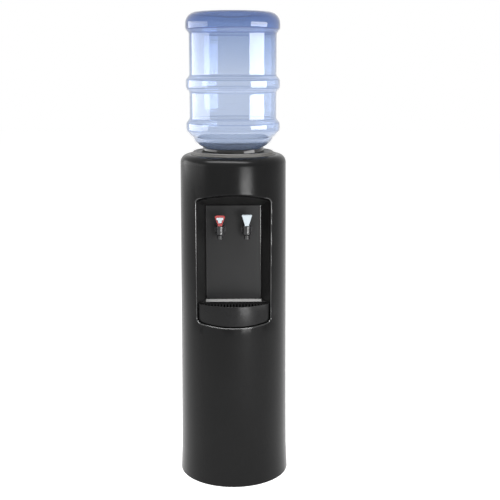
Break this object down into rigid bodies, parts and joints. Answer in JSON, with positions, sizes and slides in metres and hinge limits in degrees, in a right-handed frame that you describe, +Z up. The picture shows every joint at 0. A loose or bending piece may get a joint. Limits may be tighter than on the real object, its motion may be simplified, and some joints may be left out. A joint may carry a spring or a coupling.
{
  "type": "water cooler",
  "caption": "Tall round floor-standing hot and cold water cooler with an inverted bottle, an arched alcove with push-lever taps, and a lift-out drip tray.",
  "frame": {"origin": "centre of the footprint at floor level", "axes": "+Z up, the taps face -Y, the hot tap is on -X and the cold tap on +X"},
  "size_m": [0.3285, 0.3286, 1.374],
  "materials": {
    "cabinet_plastic": "fine satin texture",
    "alcove_plastic": "satin",
    "panel_plastic": "satin",
    "tray_plastic": "soft gloss",
    "grille_plastic": "satin",
    "cup_plastic": "gloss",
    "bottle_plastic": "clear tinted gloss",
    "cap_plastic": "gloss",
    "white_plastic": "gloss",
    "red_plastic": "gloss",
    "tap_plastic": "gloss",
    "stainless": "brushed",
    "foam": "fine bead",
    "copper_tube": "drawn copper",
    "zinc_sheet": "galvanised",
    "black_steel": "gloss black",
    "zinc_fixing": "zinc plated",
    "rubber": "matt",
    "silicone": "translucent satin",
    "heater": "mica faced band"
  },
  "bodies": {
    "cooler": {"cabinet_shell": "cabinet_plastic", "alcove_liner": "alcove_plastic", "splash_panel": "panel_plastic", "collar_ring": "cabinet_plastic", "bottle_cup": "cup_plastic", "feed_probe": "white_plastic", "cold_tank": "stainless", "cold_insulation": "foam", "tank_lid": "white_plastic", "tank_baffle": "white_plastic", "evaporator_coil": "copper_tube", "hot_tank": "stainless", "hot_insulation": "foam", "heater_band": "heater", "hot_thermostats": "black_steel", "hot_feed_hose": "silicone", "base_pan": "zinc_sheet", "foot_pads": "rubber", "frame_posts": "zinc_sheet", "cold_shelf": "zinc_sheet", "hot_shelf": "zinc_sheet", "compressor": "black_steel", "compressor_mounts": "rubber", "compressor_bolts": "zinc_fixing", "relay_cover": "tap_plastic", "condenser_tube": "black_steel", "condenser_wires": "black_steel", "condenser_bars": "zinc_sheet", "bar_screws": "zinc_fixing", "suction_line": "copper_tube", "discharge_line": "copper_tube", "liquid_line": "copper_tube", "filter_drier": "copper_tube", "capillary_line": "copper_tube", "hot_hose": "silicone", "cold_hose": "silicone", "cold_faucet_body": "tap_plastic", "cold_spring": "stainless", "hot_faucet_body": "tap_plastic", "hot_spring": "stainless", "tap_bonnets": "tap_plastic", "shank_nuts": "white_plastic", "hot_switch_body": "tap_plastic", "cord_bush": "rubber", "drain_plug": "rubber"},
    "bottle_group": {"bottle": "bottle_plastic", "bottle_cap": "cap_plastic"},
    "tray_group": {"drip_tray": "tray_plastic"},
    "grille_group": {"drip_grille": "grille_plastic"},
    "cold_valve": {"cold_stem": "white_plastic", "cold_seat_cup": "silicone", "cold_lever_pin": "stainless"},
    "cold_paddle": {"cold_lever": "white_plastic"},
    "hot_valve": {"hot_stem": "white_plastic", "hot_seat_cup": "silicone", "hot_lever_pin": "stainless"},
    "hot_paddle": {"hot_lever": "red_plastic"},
    "latch_group": {"hot_latch": "white_plastic"},
    "rocker_group": {"hot_switch_rocker": "red_plastic"}
  },
  "joints": [
    {"name": "bottle_lift", "type": "slide", "parent": "cooler", "child": "bottle_group", "axis": [0, 0, 1], "range_m": [0, 0.15]},
    {"name": "tray_slide", "type": "slide", "parent": "cooler", "child": "tray_group", "axis": [0, -1, 0], "range_m": [0, 0.09]},
    {"name": "grille_lift", "type": "slide", "parent": "tray_group", "child": "grille_group", "axis": [0, 0, 1], "range_m": [0, 0.03]},
    {"name": "cold_stem_lift", "type": "slide", "parent": "cooler", "child": "cold_valve", "axis": [0, 0, 1], "range_m": [0, 0.004], "deforming": ["cold_spring"]},
    {"name": "cold_lever_tilt", "type": "hinge", "parent": "cold_valve", "child": "cold_paddle", "pos_m": [0.0385, -0.093, 0.781], "axis": [1, 0, 0], "range_deg": [0, 28], "stiffness_Nm_per_rad": 0.05, "springref_deg": -20.05},
    {"name": "hot_stem_lift", "type": "slide", "parent": "cooler", "child": "hot_valve", "axis": [0, 0, 1], "range_m": [0, 0.004], "deforming": ["hot_spring"]},
    {"name": "hot_lever_tilt", "type": "hinge", "parent": "hot_valve", "child": "hot_paddle", "pos_m": [-0.0385, -0.093, 0.781], "axis": [1, 0, 0], "range_deg": [0, 28], "stiffness_Nm_per_rad": 0.05, "springref_deg": -20.05},
    {"name": "hot_latch_slide", "type": "slide", "parent": "hot_paddle", "child": "latch_group", "axis": [0, 0.342, -0.9397], "range_m": [0, 0.0025], "stiffness_N_per_m": 300, "springref_m": -0.002},
    {"name": "hot_switch_tilt", "type": "hinge", "parent": "cooler", "child": "rocker_group", "pos_m": [0, 0.15317, 0.672], "axis": [1, 0, 0], "range_deg": [0, 14]}
  ],
  "couplings": [
    {"joint": "cold_lever_tilt", "follows": "cold_stem_lift", "rad_per_m": 122.17},
    {"joint": "hot_lever_tilt", "follows": "hot_stem_lift", "rad_per_m": 122.17}
  ]
}
